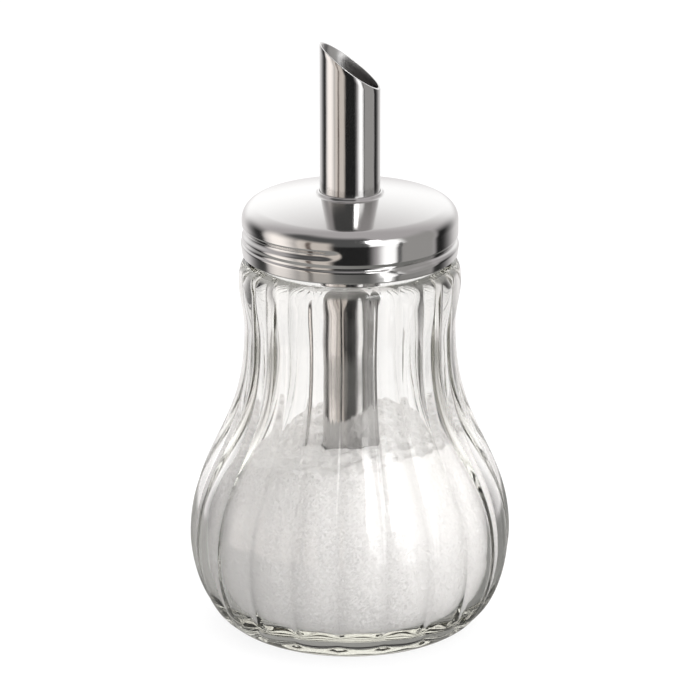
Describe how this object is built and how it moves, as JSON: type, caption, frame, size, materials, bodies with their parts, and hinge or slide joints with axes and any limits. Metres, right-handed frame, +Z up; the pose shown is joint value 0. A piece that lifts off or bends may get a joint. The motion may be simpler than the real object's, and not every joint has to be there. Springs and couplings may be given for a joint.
{
  "type": "sugar dispenser",
  "caption": "Fluted pear-shaped glass sugar jar with a domed steel screw cap and a slant-cut pouring tube that holds a hinged flap.",
  "frame": {"origin": "middle of the jar's foot, on the face that it stands on", "axes": "+Z up along the jar's axis, +X towards the low side of the spout's slanted mouth, so that the picture looks along +Y"},
  "size_m": [0.075, 0.075, 0.14],
  "materials": {
    "jar_glass": "clear fluted glass, polished by fire",
    "sugar": "fine white granulated sugar",
    "cap_steel": "polished stainless steel sheet",
    "seal_plastic": "soft natural white plastic",
    "tube_steel": "polished stainless steel tube with faint lengthwise lines",
    "plain_steel": "plain stainless steel",
    "flap_steel": "bright stainless steel sheet"
  },
  "bodies": {
    "jar_body": {"jar": "jar_glass", "sugar_fill": "sugar"},
    "seal_body": {"cap_seal": "seal_plastic"},
    "cap_body": {"screw_cap": "cap_steel", "pour_tube": "tube_steel", "tube_collar": "plain_steel", "flap_seat": "plain_steel", "flap_pin": "plain_steel"},
    "flap_body": {"flap": "flap_steel"}
  },
  "joints": [
    {"name": "cap_rise", "type": "slide", "parent": "jar_body", "child": "seal_body", "axis": [0, 0, 1], "range_m": [0, 0.0034]},
    {"name": "cap_turn", "type": "hinge", "parent": "seal_body", "child": "cap_body", "pos_m": [0, 0, 0.1], "axis": [0, 0, 1], "range_deg": [0, 285]},
    {"name": "flap_swing", "type": "hinge", "parent": "cap_body", "child": "flap_body", "pos_m": [-0.00495, 0, 0.11272], "axis": [0, -1, 0], "range_deg": [0, 78]}
  ],
  "couplings": [
    {"joint": "cap_rise", "follows": "cap_turn", "m_per_rad": 0.00066845}
  ]
}
